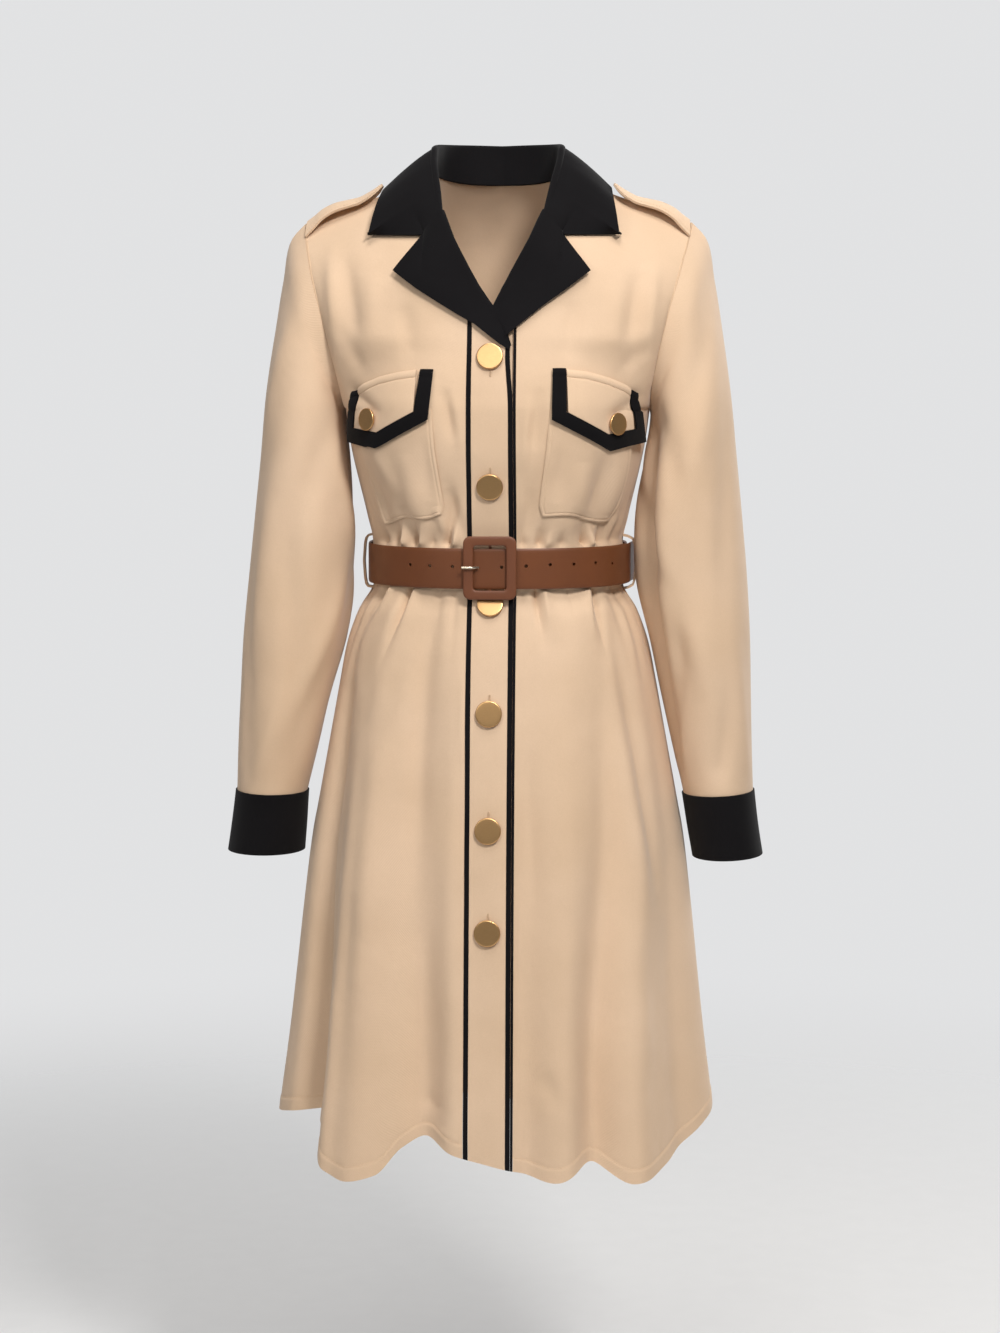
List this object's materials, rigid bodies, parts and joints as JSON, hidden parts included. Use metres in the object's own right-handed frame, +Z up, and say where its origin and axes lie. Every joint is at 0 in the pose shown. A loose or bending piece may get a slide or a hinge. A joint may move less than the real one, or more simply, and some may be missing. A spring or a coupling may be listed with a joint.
{
  "type": "shirt dress",
  "caption": "Long-sleeved knee-length shirt dress with notched collar, contrast trim, flap pockets, front buttons and a leather belt, held in its worn hollow form.",
  "frame": {"origin": "between the two shoulder seam neck points, where the dress hangs from the shoulders", "axes": "+Z up along the body, -Y out of the front, +X to the wearer's left"},
  "size_m": [0.521, 0.319, 0.9795],
  "materials": {
    "cloth": "matt twill",
    "trim": "matt twill",
    "leather": "smooth, slight sheen",
    "metal": "brushed, pale gold"
  },
  "bodies": {
    "root": {"front_right": "cloth", "front_left": "cloth", "back": "cloth", "placket_right": "cloth", "placket_left": "cloth", "sleeve_right": "cloth", "sleeve_left": "cloth", "pocket_right": "cloth", "pocket_left": "cloth", "flap_right": "cloth", "flap_left": "cloth", "epaulette_right": "cloth", "epaulette_left": "cloth", "belt_loop_right": "cloth", "belt_loop_left": "cloth", "collar": "trim", "lapel_right": "trim", "lapel_left": "trim", "cuff_right": "trim", "cuff_left": "trim", "piping_right_seam": "trim", "piping_right_edge": "trim", "piping_left_seam": "trim", "flap_binding_right": "trim", "flap_binding_left": "trim", "belt_strap": "leather", "buckle_frame": "leather", "buckle_prong": "metal", "button_1": "metal", "button_2": "metal", "button_3": "metal", "button_4": "metal", "button_5": "metal", "button_6": "metal", "flap_button_right": "metal", "flap_button_left": "metal"}
  },
  "joints": []
}
